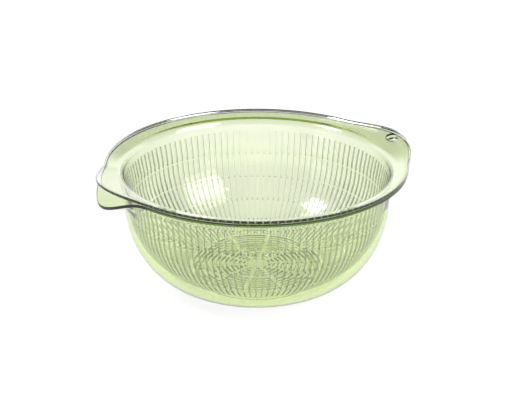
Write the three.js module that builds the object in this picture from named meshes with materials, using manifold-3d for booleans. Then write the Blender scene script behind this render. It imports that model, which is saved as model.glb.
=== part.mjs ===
// A slotted colander that hangs by its flange inside a pouring bowl.
// Sizes are in millimetres. The part stands on its foot at z = 0, the handle tabs point
// along +X and the spouts along -X.
import * as THREE from "three";
import { mergeVertices } from "three/addons/utils/BufferGeometryUtils.js";
import Module from "manifold-3d";

const { degToRad } = THREE.MathUtils;

// Rim and flanges
const RIM_HEIGHT = 105;
const RIM_RADIUS = 125;
const RIM_STEP = 0.5; // the bowl's rim stays this far inside the colander's
const FLANGE_RISE = Math.tan(degToRad(15));
const FLANGE_THICKNESS = 1.7; // measured upright
const BOWL_FLANGE_RISE = Math.tan(degToRad(12));
const BOWL_FLANGE_THICKNESS = 2.4; // measured upright
const SEAT_GAP = 0.3; // upright gap between the two flanges at the wall
const FLANGE_WIDTH = 11.8; // from the bowl's wall to the colander's rim
const SHOULDER = 6; // size of the fillet under the colander's flange, which the others follow

// Handle tabs and spouts
const SPOUT_REACH = 12.2; // how far the spouts stand out from the colander's round rim
const TAB_REACH = 10.2; // the colander's tab. The bowl's reaches as far as the spouts
const TAB_SPREAD = degToRad(27); // half of the angle that the colander's tab takes up
const BOWL_TAB_SPREAD = degToRad(31);
const SPOUT_SPREAD = degToRad(25);
const MOUTH_SPREAD = degToRad(21);
const TAB_DROP = 1.4; // the bowl's tab bends down, so that a finger can part the two
const SPOUT_DROP = 14.5; // the bowl's spout lies under the colander's and leaves a mouth
const HOLE_RADIUS = 4.8;
const HOLE_OFFSET = 2.2; // from the round rim out to the centre of the colander's hole
const HOLE_STEP = 2; // the bowl's hole lies this much further out

// Bowl
const BOWL_WALL = 1.2; // at the top. It grows to the knee, and on to the floor's thickness
const KNEE_WALL = 1.7; // the bowl's wall at the knee
const WALL_DRAFT = 3; // the bowl's wall narrows by this much from its top to the knee
const KNEE_DEPTH = 30; // the straight wall turns into the round corner this far under the rim
const FOOT_RADIUS = 53.5;
const FOOT_WIDTH = 4;
const FOOT_HEIGHT = 1.2;
const FOOT_BEVEL = 0.5;
const BOWL_FLOOR = 2;

// Colander
const COLANDER_WALL = 1.6;
const SIDE_GAP = 1; // between the two walls at the top
const KNEE_GAP = 0.9; // between the two walls at the knee
const BASE_GAP = 5; // between the two floors
const BASE_RADIUS = 55;
const CORNER_TURN = degToRad(76); // the wall turns this far, and meets the base at an angle

// Wall slots: the solids carry every second column of the real part's slots
const SLOT_COLUMNS = 60;
const COLUMN_TURN = 0.5; // in column pitches, from the handle's side to the first slot's middle
const SLOT_ROWS = 5;
const SLOT_WIDTH = 1.5;
const SLOT_START = 3.4; // plain hoop above the first row
const SLOT_BAND = 1.2; // plain hoop between two rows
const SLOT_END = 2.3; // plain hoop under the last row

// Floor slots: arcs in rings, between straight spokes
const SPOKES = 10;
const ARC_TURN = 0; // in spoke pitches: a slot's middle, and no spoke, points at the handle
const SPOKE_WIDTH = 3.5;
const RINGS = 12;
const RING_SLOT = 1.5;
const HUB_RADIUS = 9.9; // plain middle inside the first ring
const FLOOR_EDGE = 0.8; // plain edge outside the last ring

// Mesh steps
const RIM_STEPS = 120;
const BODY_STEPS = 60;
const FLOOR_STEPS = 40;
const SHOULDER_STEPS = 3;
const CORNER_STEPS = 8;
const ARC_STEP = 16; // longest straight piece of a floor slot

// Sizes that follow from the ones above
const bowlTopRadius = RIM_RADIUS - FLANGE_WIDTH;
const bowlInnerTop = bowlTopRadius - BOWL_WALL;
const bowlKneeRadius = bowlTopRadius - WALL_DRAFT;
const kneeHeight = RIM_HEIGHT - KNEE_DEPTH;
const colanderTopRadius = bowlInnerTop - SIDE_GAP;
const colanderKneeRadius = bowlKneeRadius - KNEE_WALL - KNEE_GAP;
const bowlFloorTop = FOOT_HEIGHT + BOWL_FLOOR;
const baseUnder = bowlFloorTop + BASE_GAP;
const baseTop = baseUnder + COLANDER_WALL;
const ringPitch = (BASE_RADIUS - FLOOR_EDGE - RING_SLOT - HUB_RADIUS) / (RINGS - 1);

// A smooth hill of height 1 at an angle, zero past its spread
function hill(angle, centre, spread) {
  const offset = Math.abs(Math.atan2(Math.sin(angle - centre), Math.cos(angle - centre)));
  return offset < spread ? Math.cos((Math.PI / 2) * (offset / spread)) ** 2 : 0;
}

const tabHill = (angle) => hill(angle, 0, TAB_SPREAD);
const bowlTabHill = (angle) => hill(angle, 0, BOWL_TAB_SPREAD);
const spoutHill = (angle) => hill(angle, Math.PI, SPOUT_SPREAD);

// Rim radius at an angle, with the tab and the spout. The bowl's tab and both spouts reach
// equally far.
const bowlReach = SPOUT_REACH + RIM_STEP;
const colanderRim = (angle) =>
  RIM_RADIUS + TAB_REACH * tabHill(angle) + SPOUT_REACH * spoutHill(angle);
const bowlRim = (angle) =>
  RIM_RADIUS - RIM_STEP + bowlReach * (bowlTabHill(angle) + spoutHill(angle));

// Heights of the two flanges' sides at a radius. The bowl's rises less, so the gap widens outwards.
const flangeTop = (radius) => RIM_HEIGHT + FLANGE_RISE * (radius - RIM_RADIUS);
const flangeUnder = (radius) => flangeTop(radius) - FLANGE_THICKNESS;
const bowlFlangeTop = (radius) =>
  flangeUnder(bowlInnerTop) - SEAT_GAP + BOWL_FLANGE_RISE * (radius - bowlInnerTop);
const bowlFlangeUnder = (radius) => bowlFlangeTop(radius) - BOWL_FLANGE_THICKNESS;

// One side of the shoulder, as a curve from a flange down to the top of the wall
function shoulderCurve(wallRadius, flangeHeight, size) {
  const corner = new THREE.Vector2(wallRadius, flangeHeight(wallRadius));
  const flangeEnd = new THREE.Vector2(wallRadius + size, flangeHeight(wallRadius + size));
  const wallEnd = new THREE.Vector2(wallRadius, corner.y - size);
  return new THREE.QuadraticBezierCurve(flangeEnd, corner, wallEnd);
}

// One side of a wall, as a curve from its top through the knee to the flat floor. The corner is
// part of an ellipse: a quarter runs into the floor, and less of it meets the floor at an angle.
function wallCurve(top, kneeRadius, floorRadius, floorHeight, turn = Math.PI / 2) {
  const path = new THREE.CurvePath();
  const knee = new THREE.Vector2(kneeRadius, kneeHeight);
  const width = (kneeRadius - floorRadius) / (1 - Math.cos(turn));
  const depth = (kneeHeight - floorHeight) / Math.sin(turn);
  path.add(new THREE.LineCurve(top, knee));
  path.add(new THREE.EllipseCurve(kneeRadius - width, kneeHeight, width, depth, 0, -turn, true));
  return path;
}

const evenAngles = (count) =>
  Array.from({ length: count }, (_, i) => ({ angle: (i * 2 * Math.PI) / count, open: false }));

// Angles around a ring of slots, the first of them turned by a share of the pitch.
// open marks a vertex whose step to the next one is a slot.
function slotAngles(columns, turn, slotAngle, steps) {
  const pitch = (2 * Math.PI) / columns;
  const angles = [];
  for (let column = 0; column < columns; column++) {
    const start = (column + turn) * pitch - slotAngle / 2;
    for (let step = 0; step <= steps; step++) {
      angles.push({ angle: start + (slotAngle * step) / steps, open: step < steps });
    }
  }
  return angles;
}

// A ring of the shell: where its inner and its outer side lie at an angle, as [radius, height]
const ring = (angles, inside, outside, slotted = false) => ({ angles, inside, outside, slotted });
const roundRing = (angles, inside, outside, slotted = false) =>
  ring(angles, () => inside, () => outside, slotted);

// A closed shell through rings that run from the rim to the middle. The band under a slotted
// ring is cut by slots, and takes the same angles as the ring that follows it.
function shellGeometry(rings) {
  const positions = [];
  const triangles = [];
  const put = (x, y, z) => positions.push(x, y, z) / 3 - 1;
  const place = (angle, [radius, height]) =>
    put(radius * Math.cos(angle), radius * Math.sin(angle), height);
  const quad = (a, b, c, d) => triangles.push(a, b, c, a, c, d);

  const laid = rings.map(({ angles, inside, outside, slotted }) => ({
    angles,
    slotted,
    inside: angles.map(({ angle }) => place(angle, inside(angle))),
    outside: angles.map(({ angle }) => place(angle, outside(angle))),
  }));

  // Fills the band between two rings of any number of steps, on both sides of the shell
  function plainBand(upper, lower) {
    const uppers = upper.angles.length;
    const lowers = lower.angles.length;
    const angleAt = (angles, i) => angles[i % angles.length].angle + (i < angles.length ? 0 : 2 * Math.PI);
    let i = 0;
    let j = 0;
    while (i < uppers || j < lowers) {
      const upperNext = angleAt(upper.angles, i + 1);
      const lowerNext = angleAt(lower.angles, j + 1);
      const stepUpper = j === lowers || (i < uppers && upperNext <= lowerNext);
      const [u, v] = [i % uppers, j % lowers];
      const [uNext, vNext] = [(i + 1) % uppers, (j + 1) % lowers];
      if (stepUpper) {
        triangles.push(upper.inside[u], upper.inside[uNext], lower.inside[v]);
        triangles.push(upper.outside[uNext], upper.outside[u], lower.outside[v]);
        i++;
      } else {
        triangles.push(upper.inside[u], lower.inside[vNext], lower.inside[v]);
        triangles.push(upper.outside[u], lower.outside[v], lower.outside[vNext]);
        j++;
      }
    }
  }

  // Leaves the slots open: ribs on both sides, and the four walls of each slot
  function slottedBand(upper, lower) {
    const count = upper.angles.length;
    for (let i = 0; i < count; i++) {
      const next = (i + 1) % count;
      const before = (i + count - 1) % count;
      if (upper.angles[i].open) {
        quad(upper.inside[i], upper.inside[next], upper.outside[next], upper.outside[i]);
        quad(lower.inside[next], lower.inside[i], lower.outside[i], lower.outside[next]);
      } else {
        quad(upper.inside[i], upper.inside[next], lower.inside[next], lower.inside[i]);
        quad(upper.outside[next], upper.outside[i], lower.outside[i], lower.outside[next]);
      }
      if (upper.angles[i].open && !upper.angles[before].open) {
        quad(upper.inside[i], upper.outside[i], lower.outside[i], lower.inside[i]);
      }
      if (!upper.angles[i].open && upper.angles[before].open) {
        quad(upper.outside[i], upper.inside[i], lower.inside[i], lower.outside[i]);
      }
    }
  }

  const rim = laid[0];
  rim.angles.forEach((_, i) => {
    const next = (i + 1) % rim.angles.length;
    quad(rim.inside[next], rim.inside[i], rim.outside[i], rim.outside[next]);
  });
  for (let i = 0; i + 1 < laid.length; i++) {
    const fill = laid[i].slotted ? slottedBand : plainBand;
    fill(laid[i], laid[i + 1]);
  }
  const hub = laid.at(-1);
  const [insideHeight, outsideHeight] = [rings.at(-1).inside(0)[1], rings.at(-1).outside(0)[1]];
  const insideCentre = put(0, 0, insideHeight);
  const outsideCentre = put(0, 0, outsideHeight);
  hub.angles.forEach((_, i) => {
    const next = (i + 1) % hub.angles.length;
    triangles.push(insideCentre, hub.inside[i], hub.inside[next]);
    triangles.push(outsideCentre, hub.outside[next], hub.outside[i]);
  });

  const geometry = new THREE.BufferGeometry();
  geometry.setAttribute("position", new THREE.Float32BufferAttribute(positions, 3));
  geometry.setIndex(triangles);
  return geometry;
}

// The colander's flange lies on the bowl's, which bends down at the tab and the spout
const bowlDrop = (angle, radius) => {
  const outward = THREE.MathUtils.smoothstep(radius, bowlTopRadius, RIM_RADIUS);
  return TAB_DROP * bowlTabHill(angle) * outward + SPOUT_DROP * hill(angle, Math.PI, MOUTH_SPREAD);
};

function bowlGeometry() {
  const rimAngles = evenAngles(RIM_STEPS);
  const bodyAngles = evenAngles(BODY_STEPS);
  const insideShoulder = shoulderCurve(bowlInnerTop, bowlFlangeTop, SHOULDER - SIDE_GAP);
  const outsideShoulder = shoulderCurve(bowlTopRadius, bowlFlangeUnder, SHOULDER - SIDE_GAP - BOWL_WALL);
  const inside = wallCurve(insideShoulder.v2, bowlKneeRadius - KNEE_WALL, FOOT_RADIUS, bowlFloorTop);
  const outside = wallCurve(outsideShoulder.v2, bowlKneeRadius, FOOT_RADIUS, FOOT_HEIGHT);
  const taper = WALL_DRAFT / (outsideShoulder.v2.y - kneeHeight);

  // Where the rim bends down, the wall's top follows its draft inwards
  const dropped = (radius, height, angle, follow) => {
    const drop = bowlDrop(angle, radius);
    return [radius - follow * taper * drop, height - drop];
  };
  const flangePoint = (radius, angle, height) => dropped(radius, height(radius), angle, 0);
  const middle = (curve, angle) => (curve.v0.x + bowlRim(angle)) / 2;

  const rings = [
    ring(rimAngles, (a) => flangePoint(bowlRim(a), a, bowlFlangeTop),
      (a) => flangePoint(bowlRim(a), a, bowlFlangeUnder)),
    ring(rimAngles, (a) => flangePoint(middle(insideShoulder, a), a, bowlFlangeTop),
      (a) => flangePoint(middle(outsideShoulder, a), a, bowlFlangeUnder)),
  ];
  for (let step = 0; step <= SHOULDER_STEPS; step++) {
    const share = step / SHOULDER_STEPS;
    const inner = insideShoulder.getPoint(share);
    const outer = outsideShoulder.getPoint(share);
    rings.push(ring(rimAngles, (a) => dropped(inner.x, inner.y, a, share),
      (a) => dropped(outer.x, outer.y, a, share)));
  }
  for (let step = 0; step <= CORNER_STEPS; step++) {
    const corner = step / CORNER_STEPS;
    const angles = step < CORNER_STEPS ? bodyAngles : evenAngles(FLOOR_STEPS);
    rings.push(roundRing(angles, inside.curves[1].getPoint(corner).toArray(),
      outside.curves[1].getPoint(corner).toArray()));
  }
  const footOuter = FOOT_RADIUS - FOOT_BEVEL;
  const footInner = FOOT_RADIUS - FOOT_WIDTH;
  const footSteps = [[footOuter, 0], [footInner, 0], [footInner - FOOT_BEVEL, FOOT_HEIGHT]];
  for (const [radius, height] of footSteps) {
    rings.push(roundRing(evenAngles(FLOOR_STEPS), [radius, bowlFloorTop], [radius, height]));
  }
  return shellGeometry(rings);
}

function colanderGeometry() {
  const rimAngles = evenAngles(RIM_STEPS);
  const innerTop = colanderTopRadius - COLANDER_WALL;
  const insideShoulder = shoulderCurve(innerTop, flangeTop, SHOULDER + COLANDER_WALL);
  const outsideShoulder = shoulderCurve(colanderTopRadius, flangeUnder, SHOULDER);
  const innerKnee = colanderKneeRadius - COLANDER_WALL;
  const inside = wallCurve(insideShoulder.v2, innerKnee, BASE_RADIUS, baseTop, CORNER_TURN);
  const outside = wallCurve(outsideShoulder.v2, colanderKneeRadius, BASE_RADIUS, baseUnder, CORNER_TURN);

  const rings = [
    ring(rimAngles, (a) => [colanderRim(a), flangeTop(colanderRim(a))],
      (a) => [colanderRim(a), flangeUnder(colanderRim(a))]),
  ];
  for (let step = 0; step <= SHOULDER_STEPS; step++) {
    const share = step / SHOULDER_STEPS;
    const angles = step < SHOULDER_STEPS ? rimAngles : evenAngles(BODY_STEPS);
    rings.push(roundRing(angles, insideShoulder.getPoint(share).toArray(),
      outsideShoulder.getPoint(share).toArray()));
  }

  // Both sides take the same share of their length, so that the wall keeps its thickness
  const outsideLength = outside.getLength();
  const plainLength = SLOT_START + SLOT_END + (SLOT_ROWS - 1) * SLOT_BAND;
  const slotLength = (outsideLength - plainLength) / SLOT_ROWS;
  const columnAngles = slotAngles(SLOT_COLUMNS, COLUMN_TURN, SLOT_WIDTH / colanderKneeRadius, 1);
  for (let row = 0; row < SLOT_ROWS; row++) {
    const start = SLOT_START + row * (slotLength + SLOT_BAND);
    for (const [along, slotted] of [[start, true], [start + slotLength, false]]) {
      const inner = inside.getPointAt(along / outsideLength).toArray();
      const outer = outside.getPointAt(along / outsideLength).toArray();
      rings.push(roundRing(columnAngles, inner, outer, slotted));
    }
  }
  rings.push(roundRing(evenAngles(FLOOR_STEPS), [BASE_RADIUS, baseTop], [BASE_RADIUS, baseUnder]));

  for (let i = RINGS - 1; i >= 0; i--) {
    const innerRadius = HUB_RADIUS + i * ringPitch;
    const slotAngle = (2 * Math.PI) / SPOKES - SPOKE_WIDTH / innerRadius;
    const steps = Math.ceil((slotAngle * innerRadius) / ARC_STEP);
    const angles = slotAngles(SPOKES, ARC_TURN, slotAngle, steps);
    for (const [radius, slotted] of [[innerRadius + RING_SLOT, true], [innerRadius, false]]) {
      rings.push(roundRing(angles, [radius, baseTop], [radius, baseUnder], slotted));
    }
  }
  return shellGeometry(rings);
}

// Booleans
const wasm = await Module();
wasm.setup();

function solidOf(geometry) {
  const bare = geometry.index ? geometry.toNonIndexed() : geometry;
  bare.deleteAttribute("normal");
  bare.deleteAttribute("uv");
  const merged = mergeVertices(bare);
  const vertProperties = new Float32Array(merged.attributes.position.array);
  const triVerts = new Uint32Array(merged.index.array);
  return new wasm.Manifold(new wasm.Mesh({ numProp: 3, vertProperties, triVerts }));
}

function geometryOf(solid) {
  const { vertProperties, triVerts } = solid.getMesh();
  const geometry = new THREE.BufferGeometry();
  geometry.setAttribute("position", new THREE.Float32BufferAttribute(vertProperties, 3));
  geometry.setIndex(new THREE.Uint32BufferAttribute(triVerts, 1));
  geometry.computeVertexNormals();
  return geometry;
}

const holeLength = 2 * RIM_HEIGHT;
const holeCutter = (offset) =>
  new THREE.CylinderGeometry(HOLE_RADIUS, HOLE_RADIUS, holeLength, 20)
    .rotateX(Math.PI / 2)
    .translate(RIM_RADIUS + offset, 0, RIM_HEIGHT);
const drilled = (geometry, offset) =>
  geometryOf(solidOf(geometry).subtract(solidOf(holeCutter(offset))));

const greenPlastic = new THREE.MeshStandardMaterial({
  color: 0xbcd084, roughness: 0.08, metalness: 0, transparent: true, opacity: 0.45,
});
const clearPlastic = new THREE.MeshStandardMaterial({
  color: 0xf2f5f0, roughness: 0.06, metalness: 0, transparent: true, opacity: 0.3,
});

const part = new THREE.Group();
const bowl = new THREE.Mesh(drilled(bowlGeometry(), HOLE_OFFSET + HOLE_STEP), greenPlastic);
bowl.name = "bowl";
const colander = new THREE.Mesh(drilled(colanderGeometry(), HOLE_OFFSET), clearPlastic);
colander.name = "colander";
part.add(bowl, colander);

export default part;
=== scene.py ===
# %% [markdown]
# # A slotted colander in a pouring bowl
#
# Two mouldings make this kitchen tool: a bowl of green see-through plastic, and a clear colander that
# hangs in it by its flange. Both are thin shells of one wall thickness, as every injection moulding is,
# so both can be made by the same rule: a line down the wall is swept around the middle, and where the
# mould had blades the sweep is left open as slots.
#
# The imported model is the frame. Everything below is in its frame, in metres, with the handle tabs on +X,
# the spouts on -X and the foot on z = 0.

# %% Load the frame
import math

import bmesh
import bpy
import numpy as np
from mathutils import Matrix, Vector


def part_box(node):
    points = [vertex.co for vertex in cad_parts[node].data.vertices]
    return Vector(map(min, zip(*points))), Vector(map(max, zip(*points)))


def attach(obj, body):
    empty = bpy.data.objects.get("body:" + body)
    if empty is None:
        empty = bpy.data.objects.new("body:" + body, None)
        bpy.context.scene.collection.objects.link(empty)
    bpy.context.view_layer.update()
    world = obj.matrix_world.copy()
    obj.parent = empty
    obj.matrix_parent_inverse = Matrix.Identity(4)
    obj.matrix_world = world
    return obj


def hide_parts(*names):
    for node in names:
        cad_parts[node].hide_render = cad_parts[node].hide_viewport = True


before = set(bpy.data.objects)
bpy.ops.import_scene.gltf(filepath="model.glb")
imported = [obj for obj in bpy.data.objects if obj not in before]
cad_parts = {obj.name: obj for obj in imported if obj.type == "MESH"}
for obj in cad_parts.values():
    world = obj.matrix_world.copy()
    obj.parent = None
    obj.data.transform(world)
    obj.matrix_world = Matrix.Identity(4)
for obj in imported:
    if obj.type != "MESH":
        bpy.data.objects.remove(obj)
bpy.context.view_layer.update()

# %% [markdown]
# ## The sizes that both mouldings share
#
# A maker's drawing would give the rim, the wall and the floor of each shell. The heights and reaches that
# the frame already holds are read from it, so the looks can't drift away from the solids. What the box of
# a solid can't tell, such as a wall's thickness, is a named value here.

# %% Read the main sizes from the frame
MM = 0.001
bowl_low, bowl_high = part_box("bowl")
colander_low, colander_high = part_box("colander")

RIM_RADIUS = colander_high.y
BOWL_RIM_RADIUS = bowl_high.y
TAB_REACH = colander_high.x - RIM_RADIUS
SPOUT_REACH = -colander_low.x - RIM_RADIUS
BOWL_REACH = bowl_high.x - BOWL_RIM_RADIUS
RISE = math.tan(math.radians(15))
RIM_HEIGHT = colander_high.z - RISE * SPOUT_REACH
BASE_UNDER = colander_low.z

FLANGE = 1.7 * MM
LIP = 2.3 * MM
BOWL_FLANGE = 2.4 * MM
BOWL_LIP = 2.6 * MM
BOWL_RISE = math.tan(math.radians(12))
SEAT_GAP = 0.3 * MM
SIDE_GAP = 1.0 * MM
SHOULDER = 6 * MM
KNEE_DEPTH = 30 * MM
KNEE_HEIGHT = RIM_HEIGHT - KNEE_DEPTH
TAB_SPREAD = math.radians(27)
BOWL_TAB_SPREAD = math.radians(31)
SPOUT_SPREAD = math.radians(25)
MOUTH_SPREAD = math.radians(21)
TAB_DROP = 1.4 * MM
SPOUT_DROP = 14.5 * MM
HOLE_RADIUS = 4.8 * MM
HOLE_OFFSET = 2.2 * MM
HOLE_STEP = 2 * MM
HOLE_PLACE = RIM_RADIUS + HOLE_OFFSET
BOWL_HOLE_PLACE = HOLE_PLACE + HOLE_STEP
print("rim", round(RIM_RADIUS / MM, 2), "spout", round(SPOUT_REACH / MM, 2),
      "height", round(RIM_HEIGHT / MM, 2))

# %% [markdown]
# ## The camera
#
# The rim of the bowl is a circle, so its ellipse in the picture gives the camera's height: the axis looks
# down at about 22 degrees, with the handle turned 25 degrees to the back. A long lens, well away, gives
# the small difference between the near rim and the far one. The camera aims a little under the rim, which
# puts the object above the middle of the frame without any lens shift.

# %% Place the camera
PICTURE_WIDTH = 512
PICTURE_MIDDLE = (256, 200)
RIM_CENTRE_PIXEL = (256.8, 159.7)
FOCAL_PIXELS = 1456
SENSOR_WIDTH = 36
CAMERA_DISTANCE = 1.2
CAMERA_TURN = math.radians(-25)
CAMERA_TILT = math.radians(21.6)

rim_centre = Vector((0, 0, RIM_HEIGHT))
back = Vector((
    math.sin(CAMERA_TURN) * math.cos(CAMERA_TILT),
    -math.cos(CAMERA_TURN) * math.cos(CAMERA_TILT),
    math.sin(CAMERA_TILT),
))
right = Vector((math.cos(CAMERA_TURN), math.sin(CAMERA_TURN), 0))
up = back.cross(right)
across = (PICTURE_MIDDLE[0] - RIM_CENTRE_PIXEL[0]) / FOCAL_PIXELS
down = (PICTURE_MIDDLE[1] - RIM_CENTRE_PIXEL[1]) / FOCAL_PIXELS
aim = right * across - up * down - back

camera_data = bpy.data.cameras.new("camera")
camera_data.sensor_width = SENSOR_WIDTH
camera_data.lens = SENSOR_WIDTH * FOCAL_PIXELS / PICTURE_WIDTH
camera = bpy.data.objects.new("camera", camera_data)
camera.location = rim_centre + back * CAMERA_DISTANCE
camera.rotation_euler = aim.to_track_quat("-Z", "Y").to_euler()
bpy.context.collection.objects.link(camera)
bpy.context.scene.camera = camera
print("camera at", [round(c, 3) for c in camera.location], "lens", round(camera_data.lens, 1))

# %% [markdown]
# ## Nodes written as Python
#
# Materials and Geometry Nodes trees are both graphs of sockets. Two small classes let the rest of this
# lesson write them as sums: a Wire is an output socket whose arithmetic adds Math nodes, and a Board is a
# tree with one method that adds any other node.

# %% A socket that can be reckoned with
class Wire:
    """An output socket. Arithmetic on it adds Math nodes to its board."""

    def __init__(self, board, socket):
        self.board = board
        self.socket = socket

    def out(self, name):
        return Wire(self.board, self.socket.node.outputs[name])

    def math(self, operation, *terms):
        return self.board.node("ShaderNodeMath", {"operation": operation}, dict(enumerate(terms)))

    def __add__(self, other):
        return self.math("ADD", self, other)

    def __radd__(self, other):
        return self.math("ADD", other, self)

    def __sub__(self, other):
        return self.math("SUBTRACT", self, other)

    def __rsub__(self, other):
        return self.math("SUBTRACT", other, self)

    def __mul__(self, other):
        return self.math("MULTIPLY", self, other)

    def __rmul__(self, other):
        return self.math("MULTIPLY", other, self)

    def __truediv__(self, other):
        return self.math("DIVIDE", self, other)

    def __rtruediv__(self, other):
        return self.math("DIVIDE", other, self)

    def __pow__(self, other):
        return self.math("POWER", self, other)

    def __lt__(self, other):
        return self.math("LESS_THAN", self, other)

    def __gt__(self, other):
        return self.math("GREATER_THAN", self, other)

    def floor(self):
        return self.math("FLOOR", self)

    def cosine(self):
        return self.math("COSINE", self)

    def sine(self):
        return self.math("SINE", self)

    def least(self, other):
        return self.math("MINIMUM", self, other)

    def most(self, other):
        return self.math("MAXIMUM", self, other)


# %% A tree that takes nodes
class Board:
    """A node tree. One method adds any node: its settings first, then its sockets."""

    def __init__(self, tree):
        self.tree = tree

    def node(self, kind, settings=None, sockets=None, output=0):
        made = self.tree.nodes.new(kind)
        for name, value in (settings or {}).items():
            setattr(made, name, value)
        for name, value in (sockets or {}).items():
            self.join(value, made.inputs[name])
        return Wire(self, made.outputs[output]) if len(made.outputs) else made

    def join(self, value, socket):
        if isinstance(value, Wire):
            self.tree.links.new(value.socket, socket)
        else:
            socket.default_value = value


# %% [markdown]
# ## The light and the floor
#
# The real thing stood on a white sweep between two softboxes. Clear plastic has hardly a colour of its
# own: it shows what is around it, so the surroundings matter as much as the material. A bright backdrop
# behind it and a dim room elsewhere draw pale walls with dark edges. The floor is a plain pale disc. For
# the camera, and in reflections and through the plastic, it is lifted to white, and its diffuse part still
# takes the object's shadow.

# %% Lay the floor
FLOOR_RADIUS = 12
FLOOR_SEGMENTS = 96
FLOOR_DROP = 0.1 * MM
FLOOR_WHITE = 0.4
FLOOR_LIFT = (0.89, 0.95)
FLOOR_LIFT_RANGE = (0.25, 1.0)


def seen_directly(board):
    """1 for camera rays and for rays that plastic reflected or let through, 0 for diffuse light."""
    path = board.node("ShaderNodeLightPath")
    seen = path.out("Is Camera Ray").most(path.out("Is Glossy Ray"))
    return seen.most(path.out("Is Transmission Ray"))


def floor_material():
    material = bpy.data.materials.new("floor_paper")
    material.use_nodes = True
    material.node_tree.nodes.clear()
    board = Board(material.node_tree)
    paper = board.node("ShaderNodeBsdfDiffuse", {}, {"Color": (FLOOR_WHITE, FLOOR_WHITE, FLOOR_WHITE, 1)})
    place = board.node("ShaderNodeTexCoord", {}, {}, "Object")
    distance = board.node("ShaderNodeVectorMath", {"operation": "LENGTH"}, {0: place}, "Value")
    strength = board.node("ShaderNodeMapRange", {"interpolation_type": "SMOOTHSTEP"}, {
        "Value": distance, "From Min": FLOOR_LIFT_RANGE[0], "From Max": FLOOR_LIFT_RANGE[1],
        "To Min": FLOOR_LIFT[0], "To Max": FLOOR_LIFT[1]})
    lift = board.node("ShaderNodeEmission", {}, {"Strength": seen_directly(board) * strength})
    both = board.node("ShaderNodeAddShader", {}, {0: paper, 1: lift})
    board.node("ShaderNodeOutputMaterial", {}, {"Surface": both})
    return material


floor_mesh = bpy.data.meshes.new("floor")
shape = bmesh.new()
bmesh.ops.create_circle(shape, cap_ends=True, segments=FLOOR_SEGMENTS, radius=FLOOR_RADIUS)
shape.to_mesh(floor_mesh)
shape.free()
floor = bpy.data.objects.new("floor", floor_mesh)
floor.location.z = -FLOOR_DROP
floor_mesh.materials.append(floor_material())
bpy.context.collection.objects.link(floor)
print("floor disc of", FLOOR_RADIUS, "m")

# %% Hang the lights
BACKDROP = 1.4
ROOM = 0.03
BACKDROP_TOP = (0.34, 0.46)
BACKDROP_SIDE = (0.15, 0.6)
SOFTBOX_DISTANCE = 1.3

away = Vector((-math.sin(CAMERA_TURN), math.cos(CAMERA_TURN), 0))


def eased(board, value, start, end):
    """0 up to start, 1 from end, and a soft step between them."""
    return board.node("ShaderNodeMapRange", {"interpolation_type": "SMOOTHSTEP"}, {
        "Value": value, "From Min": start, "From Max": end})


def studio_world():
    """A lit backdrop behind the object, and a dim room everywhere else."""
    world = bpy.data.worlds.new("studio")
    world.use_nodes = True
    world.node_tree.nodes.clear()
    board = Board(world.node_tree)
    direction = board.node("ShaderNodeTexCoord", {}, {}, "Generated")
    height = board.node("ShaderNodeSeparateXYZ", {}, {"Vector": direction}, "Z")
    behind = board.node("ShaderNodeVectorMath", {"operation": "DOT_PRODUCT"},
                        {0: direction, 1: away}, "Value")
    backdrop = eased(board, behind, *BACKDROP_SIDE) * (1 - eased(board, height, *BACKDROP_TOP))
    sky = board.node("ShaderNodeBackground", {}, {"Strength": ROOM + backdrop * (BACKDROP - ROOM)})
    board.node("ShaderNodeOutputWorld", {}, {"Surface": sky})
    return world


def softbox(name, towards, size, power):
    """A square area light that faces the object. towards is right, away and up, as the camera sees it."""
    direction = right * towards[0] + away * towards[1] + Vector((0, 0, towards[2]))
    light = bpy.data.lights.new(name, "AREA")
    light.shape = "SQUARE"
    light.size = size
    light.energy = power
    lamp = bpy.data.objects.new(name, light)
    lamp.location = rim_centre + direction.normalized() * SOFTBOX_DISTANCE
    lamp.rotation_euler = (-direction).to_track_quat("-Z", "Y").to_euler()
    bpy.context.collection.objects.link(lamp)
    print(name, "at", [round(c, 2) for c in lamp.location])


bpy.context.scene.world = studio_world()
softbox("softbox_right", towards=(0.775, -0.49, 0.40), size=0.9, power=8)
softbox("softbox_left", towards=(-0.711, -0.106, 0.696), size=0.42, power=4)

# %% [markdown]
# ## The plastics
#
# Both shells are clear styrene-like plastic. It bends light with an index near 1.55, and the bowl's green
# comes from a dye in the wall, so it is an absorption inside the solid: a thin wall is pale and a rim seen
# along its length is deep green. Painting the surface green would miss that. The mould's blades leave the
# sides of the slots matt, and their colour is darkened as a painted shade for the dark lines of the slots.
# The rims' edge faces are darkened by a painted shade too, and the shell tree marks both with attributes
# that this material reads. A soft waviness and faint rubbed patches in the gloss are what a moulded wall
# shows when it is used.

# %% Make the plastics
PLASTIC_INDEX = 1.55
GLOSS_ROUGHNESS = 0.01
RUBBED_ROUGHNESS = 0.12
CUT_ROUGHNESS = 0.3
PATCH_SCALE = 28.0
SCUFF_SCALE = 420.0
WAVE_SCALE = 45.0
WAVE_DEPTH = 0.2 * MM
WAVE_STRENGTH = 0.01
CLEAN_COLOUR = (1.0, 1.0, 1.0, 1)
RUBBED_COLOUR = (0.985, 0.99, 0.98, 1)
# Painted shade: the slot sides are darkened towards grey-green to draw the dark lines that the slots show.
SLOT_SHADE_COLOUR = (0.50, 0.52, 0.45, 1)
WALL_SLOT_SHADE = 0.5
# Painted shade: the rims' edge faces are darkened to draw the dark lines along the rims.
RIM_EDGE_SHADE_COLOUR = (0.30, 0.34, 0.24, 1)


def blended(board, share, first, second):
    """A colour between two."""
    return board.node("ShaderNodeMix", {"data_type": "RGBA"}, {"Factor": share, 6: first, 7: second}, 2)


def marked(board, name):
    """The share that the shell tree stored on a face."""
    return board.node("ShaderNodeAttribute", {"attribute_name": name}, {}, "Fac")


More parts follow.
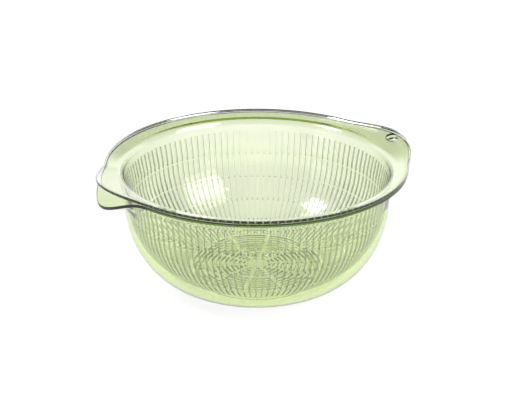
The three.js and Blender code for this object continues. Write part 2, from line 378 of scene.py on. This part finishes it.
def plastic(name, absorbed, density):
    material = bpy.data.materials.new(name)
    material.use_nodes = True
    material.node_tree.nodes.clear()
    board = Board(material.node_tree)
    place = board.node("ShaderNodeTexCoord", {}, {}, "Object")
    patches = board.node("ShaderNodeTexNoise", {}, {"Vector": place, "Scale": PATCH_SCALE, "Detail": 3.0})
    scuffs = board.node("ShaderNodeTexNoise", {}, {"Vector": place, "Scale": SCUFF_SCALE, "Detail": 2.0})
    rubbed = (patches - 0.5).most(0) * scuffs
    # cut marks the slot sides: they get matt roughness, and painted shade is blended into their colour
    # below.
    cut = marked(board, "blade_cut_and_shade")
    roughness = GLOSS_ROUGHNESS + rubbed * RUBBED_ROUGHNESS + (cut > 0) * CUT_ROUGHNESS
    wave = board.node("ShaderNodeTexNoise", {}, {"Vector": place, "Scale": WAVE_SCALE, "Detail": 1.0})
    bump = board.node("ShaderNodeBump", {}, {
        "Strength": WAVE_STRENGTH, "Distance": WAVE_DEPTH, "Height": wave})
    colour = blended(board, patches, CLEAN_COLOUR, RUBBED_COLOUR)
    # Painted shade: the slot sides are blended towards a darker colour.
    colour = blended(board, cut, colour, SLOT_SHADE_COLOUR)
    # Painted shade: the rims' edge faces are blended towards a dark green.
    colour = blended(board, marked(board, "rim_edge_shade"), colour, RIM_EDGE_SHADE_COLOUR)
    surface = board.node("ShaderNodeBsdfPrincipled", {}, {
        "Base Color": colour, "Roughness": roughness, "Normal": bump,
        "IOR": PLASTIC_INDEX, "Transmission Weight": 1.0})
    inside = board.node("ShaderNodeVolumeAbsorption", {}, {"Color": absorbed, "Density": density})
    board.node("ShaderNodeOutputMaterial", {}, {"Surface": surface, "Volume": inside})
    return material


green_plastic = plastic("bowl_plastic", absorbed=(0.708, 0.892, 0.046, 1), density=190.0)
clear_plastic = plastic("colander_plastic", absorbed=(0.55, 0.80, 0.50, 1), density=10.0)
print("plastics", green_plastic.name, clear_plastic.name)

# %% [markdown]
# ## One tree for every moulded shell
#
# A shell of one thickness could be spun as a screw modifier and given its wall by Solidify, but the spout,
# the tab and six hundred slots break the roundness. A Geometry Nodes tree keeps the rule in one place: a
# profile line carries the outer and the inner point of each ring, the tree lays a grid of those rings
# around the middle, bends the rim out where the tab and the spout are, leaves the slots open, and closes
# the wall between the two sides.

# %% Name the tree's inputs
SHELL_INPUTS = [
    ("Profile", "NodeSocketGeometry"),
    ("Steps", "NodeSocketInt"),
    ("Columns", "NodeSocketInt"),
    ("Slot share", "NodeSocketFloat"),
    ("Spokes", "NodeSocketInt"),
    ("Spoke width", "NodeSocketFloat"),
    ("Rise", "NodeSocketFloat"),
    ("Tab reach", "NodeSocketFloat"),
    ("Tab spread", "NodeSocketFloat"),
    ("Tab drop", "NodeSocketFloat"),
    ("Spout reach", "NodeSocketFloat"),
    ("Spout spread", "NodeSocketFloat"),
    ("Mouth spread", "NodeSocketFloat"),
    ("Mouth drop", "NodeSocketFloat"),
    ("Hole radius", "NodeSocketFloat"),
    ("Hole place", "NodeSocketVector"),
    ("Sharp angle", "NodeSocketFloat"),
    ("Plastic", "NodeSocketMaterial"),
]
RING_NUMBERS = ("reach", "tab_drop", "mouth_drop", "draft", "floor", "cut")
WELD = 0.001 * MM
SMALLEST_RADIUS = 1 * MM
WIDEST_SPOKE = 0.45
PUNCH_SIDES = 64
PUNCH_DEPTH = 40 * MM


# %% Angles around the wall and around the floor
def wall_angle(size, around):
    """Two steps of a column are the edges of its slot, and the rest share its rib."""
    steps = size("Steps") / size("Columns")
    column = (around / steps).floor()
    step = around - column * steps
    pitch = math.tau / size("Columns")
    slot = pitch * size("Slot share")
    rib = slot / 2 + (pitch - slot) * (step - 1) / (steps - 1)
    first = step < 0.5
    return (column + 0.5) * pitch + rib + first * (-1 * slot / 2 - rib)


def floor_step(size, around):
    """The sector of the floor that a step lies in, and the step's number in it."""
    steps = size("Steps") / size("Spokes")
    turned = around + steps / 2 + 1
    sector = (turned / steps).floor()
    return sector, turned - sector * steps, steps


def floor_angle(size, around, radius):
    """The first step of a sector is a spoke's middle, and its neighbours are the spoke's edges."""
    sector, step, steps = floor_step(size, around)
    pitch = math.tau / size("Spokes")
    edge = (size("Spoke width") / 2 / radius.most(SMALLEST_RADIUS)).least(pitch * WIDEST_SPOKE)
    slot = edge + (pitch - 2 * edge) * (step - 1) / (steps - 2)
    return (sector - 0.5) * pitch + slot * (step > 0.5)


# %% Hills for the tab and the spout
def hill(offset, spread):
    """A smooth hill of height 1, and 0 past its spread."""
    turn = (offset / spread).least(1) * (math.pi / 2)
    return turn.cosine() ** 2


def bent(board, point, number, size, angle):
    """A ring's point after the tab and the spout have bent it, turned to its angle."""
    within = 1 - 1e-7
    from_tab = angle.math("ARCCOSINE", angle.cosine() * within)
    from_spout = math.pi - from_tab
    tab = hill(from_tab, size("Tab spread"))
    spout = hill(from_spout, size("Spout spread"))
    mouth = hill(from_spout, size("Mouth spread"))
    apart = board.node("ShaderNodeSeparateXYZ", {}, {"Vector": point})
    mouth_drop = number("mouth_drop") * size("Mouth drop") * mouth
    tab_drop = number("tab_drop") * size("Tab drop") * tab
    reach = number("reach") * (size("Tab reach") * tab + size("Spout reach") * spout)
    radius = apart.out("X") + reach - number("draft") * mouth_drop
    return board.node("ShaderNodeCombineXYZ", {}, {
        "X": radius * angle.cosine(),
        "Y": radius * angle.sine(),
        "Z": apart.out("Z") + size("Rise") * reach - tab_drop - mouth_drop,
    })


# %% Open slots
def slot_faces(size, cut, around):
    """1 on the grid's faces that a slot leaves open."""
    steps = size("Steps") / size("Columns")
    in_column = (around - (around / steps).floor() * steps) < 0.5
    _, step, steps_in_sector = floor_step(size, around)
    in_arc = (step > 0.5) * (step < steps_in_sector - 1.5)
    wall_slot = (cut > 0.5) * (cut < 1.5) * in_column
    return wall_slot + (cut > 1.5) * in_arc


# %% Build the shell tree
def shell_tree():
    tree = bpy.data.node_groups.new("moulded_shell", "GeometryNodeTree")
    for name, kind in SHELL_INPUTS:
        tree.interface.new_socket(name, in_out="INPUT", socket_type=kind)
    tree.interface.new_socket("Shell", in_out="OUTPUT", socket_type="NodeSocketGeometry")
    board = Board(tree)
    size = board.node("NodeGroupInput").out
    profile = size("Profile")

    def named(name, kind="FLOAT"):
        return board.node("GeometryNodeInputNamedAttribute", {"data_type": kind}, {"Name": name})

    def from_profile(value, at, kind="FLOAT"):
        settings = {"data_type": kind, "domain": "POINT"}
        return board.node("GeometryNodeSampleIndex", settings,
                          {"Geometry": profile, "Value": value, "Index": at})

    rings = board.node("GeometryNodeAttributeDomainSize", {}, {"Geometry": profile}, "Point Count")
    sheet = board.node("GeometryNodeMeshGrid", {}, {
        "Vertices X": size("Steps") + 1, "Vertices Y": rings})
    index = board.node("GeometryNodeInputIndex")
    around = (index / rings).floor()
    along = index - around * rings
    numbers = {name: from_profile(named(name), along) for name in RING_NUMBERS}
    outer = from_profile(board.node("GeometryNodeInputPosition"), along, "FLOAT_VECTOR")
    inner = from_profile(named("inner", "FLOAT_VECTOR"), along, "FLOAT_VECTOR")

    on_wall = wall_angle(size, around)
    radius = board.node("ShaderNodeSeparateXYZ", {}, {"Vector": outer}, "X")
    on_floor = floor_angle(size, around, radius)
    angle = on_wall + (on_floor - on_wall) * numbers["floor"]
    outer_place = bent(board, outer, numbers.get, size, angle)
    inner_place = bent(board, inner, numbers.get, size, angle)

    bands = rings - 1
    face_around = (index / bands).floor()
    face_cut = from_profile(named("cut"), index - face_around * bands)
    sheet = board.node("GeometryNodeSetPosition", {}, {"Geometry": sheet, "Position": outer_place})
    sheet = board.node("GeometryNodeStoreNamedAttribute",
                       {"data_type": "FLOAT_VECTOR", "domain": "POINT"},
                       {"Geometry": sheet, "Name": "inner_place", "Value": inner_place})
    for name, value in (("on_rim", numbers["reach"]), ("on_floor", numbers["floor"])):
        sheet = board.node("GeometryNodeStoreNamedAttribute", {"data_type": "FLOAT", "domain": "POINT"}, {
            "Geometry": sheet, "Name": name, "Value": value})
    sheet = board.node("GeometryNodeDeleteGeometry", {"domain": "FACE"}, {
        "Geometry": sheet, "Selection": slot_faces(size, face_cut, face_around)})
    sheet = board.node("GeometryNodeMergeByDistance", {}, {"Geometry": sheet, "Distance": WELD})

    wall = board.node("GeometryNodeExtrudeMesh", {"mode": "FACES"}, {
        "Mesh": sheet, "Offset Scale": 0.0, "Individual": False})
    inside = board.node("GeometryNodeSetPosition", {}, {
        "Geometry": wall, "Selection": wall.out("Top"),
        "Position": named("inner_place", "FLOAT_VECTOR")})
    side = wall.out("Side")
    # The slot sides are marked for matt roughness and for painted shade, half as strong on the wall as on
    # the floor.
    cut_and_shade_share = (named("on_rim") < 0.5) * (WALL_SLOT_SHADE + (1 - WALL_SLOT_SHADE) * named("on_floor"))
    # The rims' edge faces are marked for painted shade.
    for name, part in (("blade_cut_and_shade", cut_and_shade_share), ("rim_edge_shade", named("on_rim") > 0.5)):
        inside = board.node("GeometryNodeStoreNamedAttribute", {"data_type": "FLOAT", "domain": "FACE"}, {
            "Geometry": inside, "Name": name, "Value": side * part})
    outside = board.node("GeometryNodeFlipFaces", {}, {"Mesh": sheet})
    both = board.node("GeometryNodeJoinGeometry", {}, {"Geometry": inside})
    board.join(outside, both.socket.node.inputs["Geometry"])
    shell = board.node("GeometryNodeMergeByDistance", {}, {"Geometry": both, "Distance": WELD})

    punch = board.node("GeometryNodeMeshCylinder", {}, {
        "Vertices": PUNCH_SIDES, "Radius": size("Hole radius"), "Depth": PUNCH_DEPTH})
    punch = board.node("GeometryNodeTransform", {}, {"Geometry": punch, "Translation": size("Hole place")})
    shell = board.node("GeometryNodeMeshBoolean", {"operation": "DIFFERENCE", "solver": "MANIFOLD"}, {
        "Mesh 1": shell, "Mesh 2": punch})

    shell = board.node("GeometryNodeSetShadeSmooth", {"domain": "FACE"}, {
        "Geometry": shell, "Shade Smooth": True})
    turn = board.node("GeometryNodeInputMeshEdgeAngle", {}, {}, "Unsigned Angle")
    shell = board.node("GeometryNodeSetShadeSmooth", {"domain": "EDGE"}, {
        "Geometry": shell, "Selection": turn > size("Sharp angle"), "Shade Smooth": False})
    shell = board.node("GeometryNodeRealizeInstances", {}, {"Geometry": shell})
    shell = board.node("GeometryNodeSetMaterial", {}, {"Geometry": shell, "Material": size("Plastic")})
    board.node("NodeGroupOutput", {}, {"Shell": shell})
    return tree


moulded_shell = shell_tree()
print("shell tree of", len(moulded_shell.nodes), "nodes")

# %% [markdown]
# ## The profile line
#
# Each ring of a shell is a pair of points, one on the outer side and one on the inner, and a few numbers
# that say how the ring joins in: how far the rim's bulges move it, and whether slots are cut under it. The
# rim ends in a flat lip a little thicker than the flange, the shoulder is a fillet, and the wall is a
# straight line that runs into a part of an ellipse.

# %% Rings of a profile
CURVE_POINTS = 400


def ring(outer, inner, **numbers):
    return {"outer": outer, "inner": inner, **numbers}


def flange_top(radius):
    """The height of the colander's flange."""
    return RIM_HEIGHT + RISE * (radius - RIM_RADIUS)


def bowl_flange_top(radius):
    """The height of the bowl's flange, which rises less, so that the gap widens outwards."""
    seat = BOWL_TOP_RADIUS - BOWL_WALL
    return flange_top(seat) - FLANGE - SEAT_GAP + BOWL_RISE * (radius - seat)


def wall_line(top, knee_radius, floor_radius, floor_height, end=math.pi / 2):
    """Points down one side of a wall: its top, and the part of an ellipse from the knee to the floor."""
    width = (knee_radius - floor_radius) / (1 - math.cos(end))
    depth = (KNEE_HEIGHT - floor_height) / math.sin(end)
    turn = np.linspace(0, end, CURVE_POINTS)
    radius = knee_radius - width * (1 - np.cos(turn))
    height = KNEE_HEIGHT - depth * np.sin(turn)
    return np.column_stack([np.append(top[0], radius), np.append(top[1], height)])


def lengths_along(line):
    return np.append(0, np.cumsum(np.linalg.norm(np.diff(line, axis=0), axis=1)))


def at_share(line, share):
    """The point at a share of a line's length."""
    run = lengths_along(line)
    return tuple(float(np.interp(share * run[-1], run, line[:, axis])) for axis in (0, 1))


# %% The rim, the flange and the shoulder
EDGE_TURNS = (0, 30, 60, 90)
EDGE_ROUND = 0.15 * MM
LIP_FADE = 3 * MM
FLANGE_STEPS = 5
FILLET_STEPS = 14


def mixed(start, end, share):
    return tuple(a + (b - a) * share for a, b in zip(start, end))


def rounded(start, corner, end, share):
    """A point on the curve that rounds a corner."""
    return mixed(mixed(start, corner, share), mixed(corner, end, share), share)


def shoulder(wall_radius, height, size):
    """Start, corner and end of the fillet between a flange and its wall."""
    start = (wall_radius + size, height(wall_radius + size))
    corner = (wall_radius, height(wall_radius))
    return start, corner, (wall_radius, corner[1] - size)


def rim_rings(rim_radius, top, thickness, lip, outer_shoulder, inner_shoulder, draft=0):
    """Rings from the rim's flat lip across the flange and round the shoulder to the wall."""
    half = lip / 2
    rings = []
    for turn in EDGE_TURNS:
        radius = rim_radius - EDGE_ROUND * (1 - math.cos(math.radians(turn)))
        middle = top(radius) - half
        thick = half - EDGE_ROUND * (1 - math.sin(math.radians(turn)))
        rings.append(ring((radius, middle - thick), (radius, middle + thick),
                          reach=1, tab_drop=1, mouth_drop=1))
    radius = rim_radius - EDGE_ROUND - LIP_FADE
    inner_edge = (radius, top(radius))
    outer_edge = (radius, top(radius) - thickness)
    rings.append(ring(outer_edge, inner_edge, reach=1, tab_drop=1, mouth_drop=1))
    for step in range(1, FLANGE_STEPS + 1):
        share = step / FLANGE_STEPS
        rings.append(ring(mixed(outer_edge, outer_shoulder[0], share),
                          mixed(inner_edge, inner_shoulder[0], share),
                          reach=1 - share, tab_drop=(1 - share) ** 2 * (1 + 2 * share), mouth_drop=1))
    for step in range(1, FILLET_STEPS + 1):
        share = step / FILLET_STEPS
        rings.append(ring(rounded(*outer_shoulder, share), rounded(*inner_shoulder, share),
                          mouth_drop=1, draft=draft * share))
    return rings


# %% Sweep a profile into a shell
SHELL_STEPS = 360
SHARP_ANGLE = math.radians(12.5)
SLOT_COLUMNS = 120
SPOKES = 10
SPOKE_WIDTH = 3.5 * MM
SHELL_SIZES = {
    "Steps": SHELL_STEPS,
    "Columns": SLOT_COLUMNS,
    "Spokes": SPOKES,
    "Spoke width": SPOKE_WIDTH,
    "Spout spread": SPOUT_SPREAD,
    "Mouth spread": MOUTH_SPREAD,
    "Hole radius": HOLE_RADIUS,
    "Sharp angle": SHARP_ANGLE,
}


def profile_mesh(name, rings):
    mesh = bpy.data.meshes.new(name)
    places = [(r["outer"][0], 0, r["outer"][1]) for r in rings]
    mesh.from_pydata(places, [(i, i + 1) for i in range(len(rings) - 1)], [])
    inner = mesh.attributes.new("inner", "FLOAT_VECTOR", "POINT")
    inner.data.foreach_set("vector", [c for r in rings for c in (r["inner"][0], 0, r["inner"][1])])
    for number in RING_NUMBERS:
        attribute = mesh.attributes.new(number, "FLOAT", "POINT")
        attribute.data.foreach_set("value", [float(r.get(number, 0)) for r in rings])
    return mesh


def moulded(name, rings, sizes):
    """Runs the shell tree on a profile and keeps the result as a plain mesh."""
    piece = bpy.data.objects.new(name, profile_mesh(name + "_profile", rings))
    bpy.context.collection.objects.link(piece)
    modifier = piece.modifiers.new("shell", "NODES")
    modifier.node_group = moulded_shell
    for socket in moulded_shell.interface.items_tree:
        if socket.in_out == "INPUT" and socket.name in sizes:
            modifier[socket.identifier] = sizes[socket.name]
    depsgraph = bpy.context.evaluated_depsgraph_get()
    mesh = bpy.data.meshes.new_from_object(piece.evaluated_get(depsgraph), depsgraph=depsgraph)
    mesh.name = name
    piece.modifiers.remove(modifier)
    piece.data = mesh
    return piece


def measure(piece):
    """Prints how closed a piece is, how many triangles it has and how much plastic it takes."""
    shape = bmesh.new()
    shape.from_mesh(piece.data)
    loose = sum(len(edge.link_faces) != 2 for edge in shape.edges)
    triangles = sum(len(face.verts) - 2 for face in shape.faces)
    volume = shape.calc_volume(signed=True)
    shape.free()
    print(piece.name, triangles, "triangles,", loose, "open edges,", round(volume * 1e6, 1), "cm3")


# %% [markdown]
# ## The bowl
#
# The bowl is the deep green shell underneath. Its flange carries the colander, bends down a little at the
# tab so that a finger can part the two, and drops at the spout, where the wall top follows it and leaves a
# mouth to pour through. A low foot ring keeps the floor off the table.

# %% Mould the bowl
BOWL_WALL = 1.2 * MM
KNEE_WALL = 1.7 * MM
FLANGE_WIDTH = 11.8 * MM
BOWL_TOP_RADIUS = RIM_RADIUS - FLANGE_WIDTH
WALL_DRAFT = 3 * MM
BOWL_KNEE_RADIUS = BOWL_TOP_RADIUS - WALL_DRAFT
FOOT_RADIUS = 53.5 * MM
FOOT_WIDTH = 4 * MM
FOOT_HEIGHT = 1.2 * MM
BOWL_FLOOR = 2 * MM
FOOT_SHAPE = ((0.92, 0.45), (0.8, 0.1), (0.65, 0), (-0.65, 0), (-0.8, 0.1), (-0.92, 0.45), (-1, 1))
FLOOR_SHARES = (0.7, 0.35, 0.1, 0)
WALL_STEPS = 8
CORNER_STEPS = 26
PLAIN_SHARE = 0.3


def bowl_flange_under(radius):
    return bowl_flange_top(radius) - BOWL_FLANGE


def bowl_rings():
    """The bowl's rings, from the rim down its wall to the foot."""
    inner_radius = BOWL_TOP_RADIUS - BOWL_WALL
    outer_shoulder = shoulder(BOWL_TOP_RADIUS, bowl_flange_under, SHOULDER - SIDE_GAP - BOWL_WALL)
    inner_shoulder = shoulder(inner_radius, bowl_flange_top, SHOULDER - SIDE_GAP)
    outer = wall_line(outer_shoulder[-1], BOWL_KNEE_RADIUS, FOOT_RADIUS, FOOT_HEIGHT)
    inner_knee = BOWL_KNEE_RADIUS - KNEE_WALL
    inner = wall_line(inner_shoulder[-1], inner_knee, FOOT_RADIUS, FOOT_HEIGHT + BOWL_FLOOR)
    draft = WALL_DRAFT / (outer_shoulder[-1][1] - KNEE_HEIGHT)
    rings = rim_rings(BOWL_RIM_RADIUS, bowl_flange_top, BOWL_FLANGE, BOWL_LIP,
                      outer_shoulder, inner_shoulder, draft)
    for step in range(1, WALL_STEPS):
        share = step / WALL_STEPS
        rings.append(ring(mixed(outer[0], outer[1], share), mixed(inner[0], inner[1], share),
                          mouth_drop=1 - share, draft=draft))
    for step in range(CORNER_STEPS + 1):
        place = 1 + round((len(outer) - 2) * step / CORNER_STEPS)
        rings.append(ring(tuple(outer[place]), tuple(inner[place])))
    return rings + foot_rings()


def foot_rings():
    """The foot ring's rounded step down and up again, and the flat floor inside it."""
    floor_top = FOOT_HEIGHT + BOWL_FLOOR
    middle = FOOT_RADIUS - FOOT_WIDTH / 2
    half = FOOT_WIDTH / 2
    rings = []
    for out, height in FOOT_SHAPE:
        radius = middle + half * out
        rings.append(ring((radius, FOOT_HEIGHT * height), (radius, floor_top)))
    for share in FLOOR_SHARES:
        radius = share * FOOT_RADIUS
        rings.append(ring((radius, FOOT_HEIGHT), (radius, floor_top)))
    return rings


bowl = moulded("bowl_shell", bowl_rings(), {
    **SHELL_SIZES,
    "Slot share": PLAIN_SHARE,
    "Rise": BOWL_RISE,
    "Tab reach": BOWL_REACH,
    "Tab spread": BOWL_TAB_SPREAD,
    "Spout reach": BOWL_REACH,
    "Tab drop": TAB_DROP,
    "Mouth drop": SPOUT_DROP,
    "Hole place": (BOWL_HOLE_PLACE, 0, RIM_HEIGHT),
    "Plastic": green_plastic,
})
measure(bowl)
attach(bowl, "bowl")
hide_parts("bowl")

# %% [markdown]
# ## The colander
#
# The clear colander hangs in the bowl. Its wall has five rows of upright slots, 120 in a row, with plain
# hoops between the rows. The flat base meets the wall at an angle, and has twelve rings of curved slots
# between ten straight spokes. On the real mould every slot is a steel blade, so the slots all stand
# radially and keep one angle.

# %% Mould the colander
COLANDER_WALL = 1.6 * MM
COLANDER_TOP_RADIUS = BOWL_TOP_RADIUS - BOWL_WALL - SIDE_GAP
KNEE_GAP = 0.9 * MM
COLANDER_KNEE_RADIUS = BOWL_KNEE_RADIUS - KNEE_WALL - KNEE_GAP
BASE_RADIUS = 55 * MM
CORNER_TURN = math.radians(76)
BASE_TOP = BASE_UNDER + COLANDER_WALL

SLOT_ROWS = 5
SLOT_WIDTH = 1.5 * MM
SLOT_START = 3.4 * MM
SLOT_BAND = 1.2 * MM
SLOT_END = 2.3 * MM
SLOT_STEPS = 4
SLOT_SLANT = 0.65 * MM

RINGS = 12
RING_SLOT = 1.5 * MM
RING_DRAFT = 0.22 * MM
HUB_RADIUS = 9.9 * MM
HUB_SHARES = (0.6, 0.3, 0)
FLOOR_EDGE = 0.8 * MM


def slot_row_rings(outer, inner):
    """The five rows of slots, each a few rings deep, and the hoops between them."""
    length = lengths_along(outer)[-1]
    plain = SLOT_START + SLOT_END + (SLOT_ROWS - 1) * SLOT_BAND
    slot = (length - plain) / SLOT_ROWS
    rings = []
    for row in range(SLOT_ROWS):
        start = SLOT_START + row * (slot + SLOT_BAND)
        for step in range(SLOT_STEPS + 1):
            share = (start + slot * step / SLOT_STEPS) / length
            slant = SLOT_SLANT / length if step == 0 else 0
            rings.append(ring(at_share(outer, share + slant), at_share(inner, share),
                              cut=int(step < SLOT_STEPS)))
    print("slots of", round(slot / MM, 1), "mm in", SLOT_ROWS, "rows of", SLOT_COLUMNS)
    return rings


def base_rings():
    """The flat base: rings of curved slots, which narrow downwards, and the plain hub."""
    pitch = (BASE_RADIUS - FLOOR_EDGE - RING_SLOT - HUB_RADIUS) / (RINGS - 1)
    radii = [(BASE_RADIUS, 0, 0)]
    for number in reversed(range(RINGS)):
        radius = HUB_RADIUS + number * pitch
        radii += [(radius + RING_SLOT, -RING_DRAFT, 2), (radius, RING_DRAFT, 0)]
    radii += [(HUB_RADIUS * share, 0, 0) for share in HUB_SHARES]
    return [ring((radius + draft, BASE_UNDER), (radius, BASE_TOP), floor=1, cut=cut)
            for radius, draft, cut in radii]


def flange_under(radius):
    return flange_top(radius) - FLANGE


def colander_rings():
    """The colander's rings, from the rim down its slotted wall to the base's hub."""
    inner_radius = COLANDER_TOP_RADIUS - COLANDER_WALL
    outer_shoulder = shoulder(COLANDER_TOP_RADIUS, flange_under, SHOULDER)
    inner_shoulder = shoulder(inner_radius, flange_top, SHOULDER + COLANDER_WALL)
    inner_knee = COLANDER_KNEE_RADIUS - COLANDER_WALL
    outer = wall_line(outer_shoulder[-1], COLANDER_KNEE_RADIUS, BASE_RADIUS, BASE_UNDER, CORNER_TURN)
    inner = wall_line(inner_shoulder[-1], inner_knee, BASE_RADIUS, BASE_TOP, CORNER_TURN)
    rings = rim_rings(RIM_RADIUS, flange_top, FLANGE, LIP, outer_shoulder, inner_shoulder)
    return rings + slot_row_rings(outer, inner) + base_rings()


colander = moulded("colander_shell", colander_rings(), {
    **SHELL_SIZES,
    "Slot share": SLOT_WIDTH / COLANDER_KNEE_RADIUS / (math.tau / SLOT_COLUMNS),
    "Rise": RISE,
    "Tab reach": TAB_REACH,
    "Tab spread": TAB_SPREAD,
    "Spout reach": SPOUT_REACH,
    "Tab drop": 0.0,
    "Mouth drop": 0.0,
    "Hole place": (HOLE_PLACE, 0, RIM_HEIGHT),
    "Plastic": clear_plastic,
})
measure(colander)
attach(colander, "colander")
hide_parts("colander")

# %% [markdown]
# ## Finish
#
# Light crosses up to eight plastic walls on its way through the object, and each wall has two faces, so
# the light paths need more bounces than the usual scene. Light that is caught between the faces of a
# flange gets few, because a real rim looks dark there.

# %% Finish
WALL_BOUNCES = 32
FLANGE_BOUNCES = 5

cycles = bpy.context.scene.cycles
cycles.max_bounces = WALL_BOUNCES
cycles.transmission_bounces = WALL_BOUNCES
cycles.glossy_bounces = FLANGE_BOUNCES
bpy.context.scene.view_settings.view_transform = "Standard"
